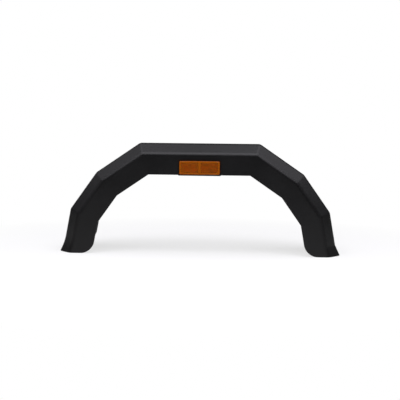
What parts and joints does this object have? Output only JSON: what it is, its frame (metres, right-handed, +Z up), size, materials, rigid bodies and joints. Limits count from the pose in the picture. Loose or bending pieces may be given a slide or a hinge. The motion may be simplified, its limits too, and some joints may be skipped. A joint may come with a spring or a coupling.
{
  "type": "trailer mudguard",
  "caption": "Moulded black plastic wheel guard shaped as half an octagon, with a bevelled front skirt, flared feet, a drilled back flange and an amber side reflector.",
  "frame": {"origin": "bottom centre of the bounding box, on the surface that the feet stand on", "axes": "+X along the trailer, over the guard's length; +Y towards the trailer's side, where the back flange is bolted, so the skirt and reflector face -Y; +Z up"},
  "size_m": [0.7535, 0.208, 0.2963],
  "materials": {
    "shell_plastic": "black polypropylene, moulded with a fine grain, satin",
    "lens_amber": "clear amber acrylic with prisms behind it, glossy",
    "backing_plastic": "dark moulded plastic plate, satin",
    "pad_foam": "grey-black double-sided foam tape"
  },
  "bodies": {
    "root": {"mudguard_shell": "shell_plastic", "reflector_pad": "pad_foam", "reflector_backing": "backing_plastic", "reflector_lens": "lens_amber"}
  },
  "joints": []
}
